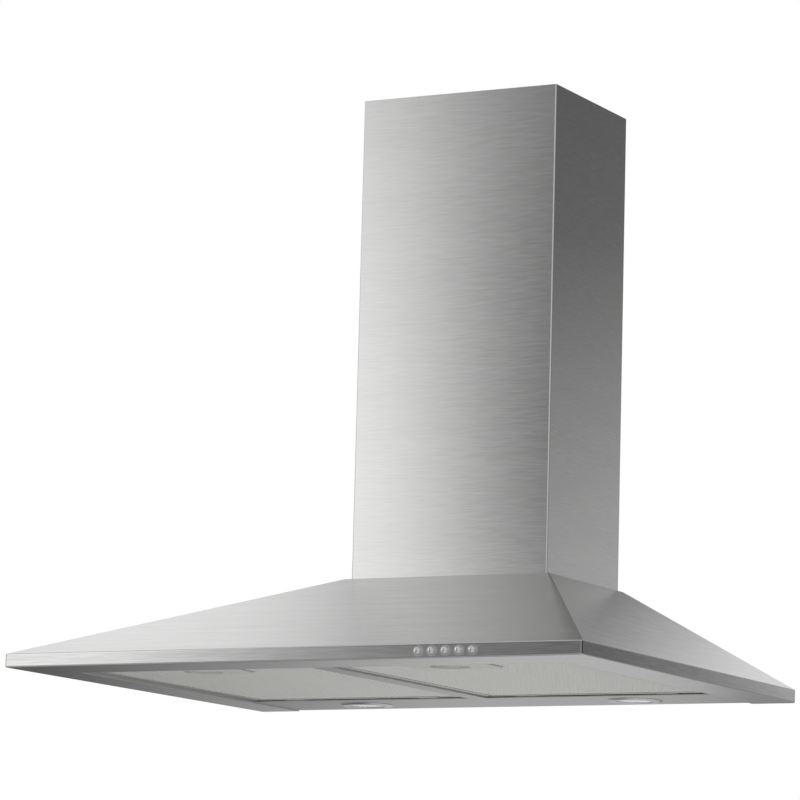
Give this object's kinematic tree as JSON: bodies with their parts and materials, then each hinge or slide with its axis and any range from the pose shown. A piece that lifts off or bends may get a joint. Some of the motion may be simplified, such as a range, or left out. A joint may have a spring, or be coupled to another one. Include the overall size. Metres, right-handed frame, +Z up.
{
  "type": "chimney range hood",
  "caption": "Wall-mounted chimney hood: pyramid canopy with a slim rim, tall rectangular chimney, two hinged mesh filters, push buttons, lamps and a centrifugal blower.",
  "frame": {"origin": "on the wall plane, at the middle of the canopy's width, level with the underside of the rim", "axes": "+X to the hood's right as seen from the front, +Y into the wall, +Z up; the front looks along -Y"},
  "size_m": [0.6, 0.505, 0.6038],
  "materials": {
    "canopy_steel": "fine brushed stainless, satin",
    "panel_steel": "fine brushed stainless, satin",
    "chimney_steel": "fine brushed stainless, grain across the width",
    "galvanised_steel": "zinc-coated sheet, dull",
    "zinc_screws": "bright zinc",
    "motor_steel": "zinc-coated can",
    "shaft_steel": "ground steel",
    "spring_steel": "bright spring steel",
    "filter_aluminium": "mill-finish folded aluminium",
    "filter_mesh": "stretched aluminium mesh",
    "blower_plastic": "black polypropylene",
    "collar_plastic": "black moulding",
    "switch_plastic": "white moulding",
    "latch_plastic": "grey moulding",
    "transformer_case": "white moulding",
    "capacitor_can": "drawn can",
    "mount_rubber": "soft rubber",
    "button_chrome": "polished chrome",
    "bezel_chrome": "turned steel",
    "lamp_glass": "frosted pressed glass",
    "capsule_glass": "clear quartz",
    "lamp_housing": "drawn steel cup"
  },
  "bodies": {
    "hood": {"canopy_shell": "canopy_steel", "canopy_back": "galvanised_steel", "underside_panel": "panel_steel", "chimney_cover": "chimney_steel", "wall_hook_left": "galvanised_steel", "wall_hook_right": "galvanised_steel", "motor_box": "galvanised_steel", "motor_box_screws": "zinc_screws", "scroll_body": "blower_plastic", "scroll_cover": "blower_plastic", "scroll_screws": "zinc_screws", "motor_can": "motor_steel", "motor_rubber_mounts": "mount_rubber", "motor_screws": "zinc_screws", "outlet_collar": "collar_plastic", "collar_screws": "zinc_screws", "switch_unit": "switch_plastic", "button_bushes": "button_chrome", "lamp_bezel_left": "bezel_chrome", "lamp_bezel_right": "bezel_chrome", "lamp_lens_left": "lamp_glass", "lamp_lens_right": "lamp_glass", "lamp_holder_left": "lamp_housing", "lamp_holder_right": "lamp_housing", "lamp_capsule_left": "capsule_glass", "lamp_capsule_right": "capsule_glass", "lamp_transformer": "transformer_case", "wiring_box": "switch_plastic", "motor_capacitor": "capacitor_can", "capacitor_clip": "galvanised_steel", "cable_gland": "switch_plastic"},
    "button_off": {"button_off": "button_chrome"},
    "button_slow": {"button_slow": "button_chrome"},
    "button_medium": {"button_medium": "button_chrome"},
    "button_fast": {"button_fast": "button_chrome"},
    "button_lamp": {"button_lamp": "button_chrome"},
    "impeller": {"impeller": "blower_plastic", "motor_shaft": "shaft_steel", "impeller_nut": "zinc_screws"},
    "flap_left": {"damper_flap_left": "collar_plastic"},
    "flap_right": {"damper_flap_right": "collar_plastic"},
    "filter_left": {"filter_frame_left": "filter_aluminium", "filter_mesh_left": "filter_mesh", "latch_case_left": "latch_plastic", "latch_spring_left": "spring_steel"},
    "latch_left": {"latch_slider_left": "latch_plastic", "latch_tongue_left": "spring_steel"},
    "filter_right": {"filter_frame_right": "filter_aluminium", "filter_mesh_right": "filter_mesh", "latch_case_right": "latch_plastic", "latch_spring_right": "spring_steel"},
    "latch_right": {"latch_slider_right": "latch_plastic", "latch_tongue_right": "spring_steel"},
    "chimney_upper": {"chimney_upper": "chimney_steel", "chimney_wall_bracket": "galvanised_steel", "chimney_bracket_screws": "zinc_screws"}
  },
  "joints": [
    {"name": "button_off_press", "type": "slide", "parent": "hood", "child": "button_off", "axis": [0, 1, 0], "range_m": [0, 0.003], "stiffness_N_per_m": 400, "springref_m": -0.001},
    {"name": "button_slow_press", "type": "slide", "parent": "hood", "child": "button_slow", "axis": [0, 1, 0], "range_m": [0, 0.003], "stiffness_N_per_m": 400, "springref_m": -0.001},
    {"name": "button_medium_press", "type": "slide", "parent": "hood", "child": "button_medium", "axis": [0, 1, 0], "range_m": [0, 0.003], "stiffness_N_per_m": 400, "springref_m": -0.001},
    {"name": "button_fast_press", "type": "slide", "parent": "hood", "child": "button_fast", "axis": [0, 1, 0], "range_m": [0, 0.003], "stiffness_N_per_m": 400, "springref_m": -0.001},
    {"name": "button_lamp_press", "type": "slide", "parent": "hood", "child": "button_lamp", "axis": [0, 1, 0], "range_m": [0, 0.003], "stiffness_N_per_m": 400, "springref_m": -0.001},
    {"name": "impeller_spin", "type": "hinge", "parent": "hood", "child": "impeller", "pos_m": [-0.012, -0.07, 0.2], "axis": [0, 1, 0], "continuous": true},
    {"name": "flap_left_swing", "type": "hinge", "parent": "hood", "child": "flap_left", "pos_m": [0.01, -0.068, 0.3048], "axis": [0, 1, 0], "range_deg": [0, 80]},
    {"name": "flap_right_swing", "type": "hinge", "parent": "hood", "child": "flap_right", "pos_m": [0.018, -0.068, 0.3048], "axis": [0, -1, 0], "range_deg": [0, 80]},
    {"name": "filter_left_swing", "type": "hinge", "parent": "hood", "child": "filter_left", "pos_m": [-0.1305, -0.0985, 0.0016], "axis": [1, 0, 0], "range_deg": [0, 85], "deforming": ["latch_tongue_left"]},
    {"name": "latch_left_pull", "type": "slide", "parent": "filter_left", "child": "latch_left", "axis": [0, 1, 0], "range_m": [0, 0.006], "stiffness_N_per_m": 300, "springref_m": -0.002, "deforming": ["latch_spring_left"]},
    {"name": "filter_right_swing", "type": "hinge", "parent": "hood", "child": "filter_right", "pos_m": [0.1305, -0.0985, 0.0016], "axis": [1, 0, 0], "range_deg": [0, 85], "deforming": ["latch_tongue_right"]},
    {"name": "latch_right_pull", "type": "slide", "parent": "filter_right", "child": "latch_right", "axis": [0, 1, 0], "range_m": [0, 0.006], "stiffness_N_per_m": 300, "springref_m": -0.002, "deforming": ["latch_spring_right"]},
    {"name": "chimney_rise", "type": "slide", "parent": "hood", "child": "chimney_upper", "axis": [0, 0, 1], "range_m": [0, 0.38]}
  ]
}
